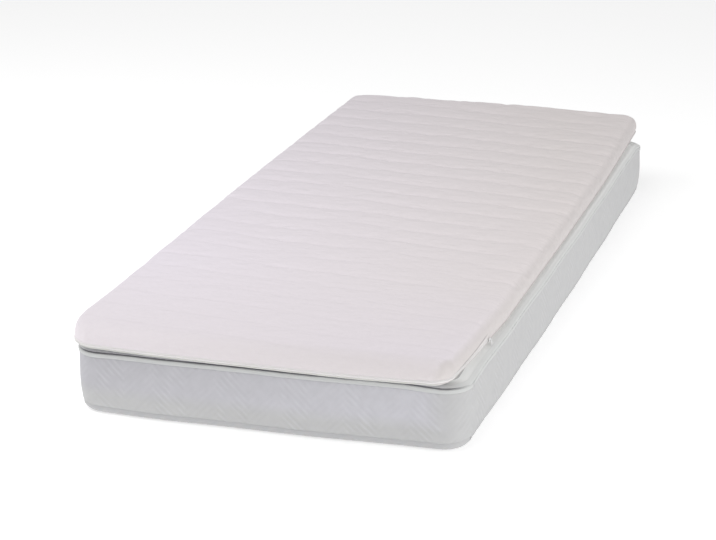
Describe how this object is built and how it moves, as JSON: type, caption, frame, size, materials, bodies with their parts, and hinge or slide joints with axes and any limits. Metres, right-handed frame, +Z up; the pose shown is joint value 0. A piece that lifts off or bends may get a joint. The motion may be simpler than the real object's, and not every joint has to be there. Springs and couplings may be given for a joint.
{
  "type": "mattress topper on a mattress",
  "caption": "Long soft pad with sewn ribs across it and a zipped cover, lying slightly askew on a plain single mattress with taped edges.",
  "frame": {"origin": "on the floor, under the middle of the whole object", "axes": "+Y along the length away from the end where the zip runs, +X across the width towards the side with the zip's slider, +Z up"},
  "size_m": [0.926, 2.101, 0.2153],
  "materials": {
    "quilted_knit": "matt quilted knit",
    "zip_tape": "matt woven tape",
    "lacquered_zinc": "satin white lacquer",
    "woven_ticking": "matt herringbone weave",
    "edge_tape": "matt woven tape"
  },
  "bodies": {
    "root": {"topper_pad": "quilted_knit", "topper_zip_tape": "zip_tape", "topper_zip_slider": "lacquered_zinc", "topper_zip_pull": "lacquered_zinc", "mattress_body": "woven_ticking", "mattress_upper_tape": "edge_tape", "mattress_lower_tape": "edge_tape"}
  },
  "joints": []
}
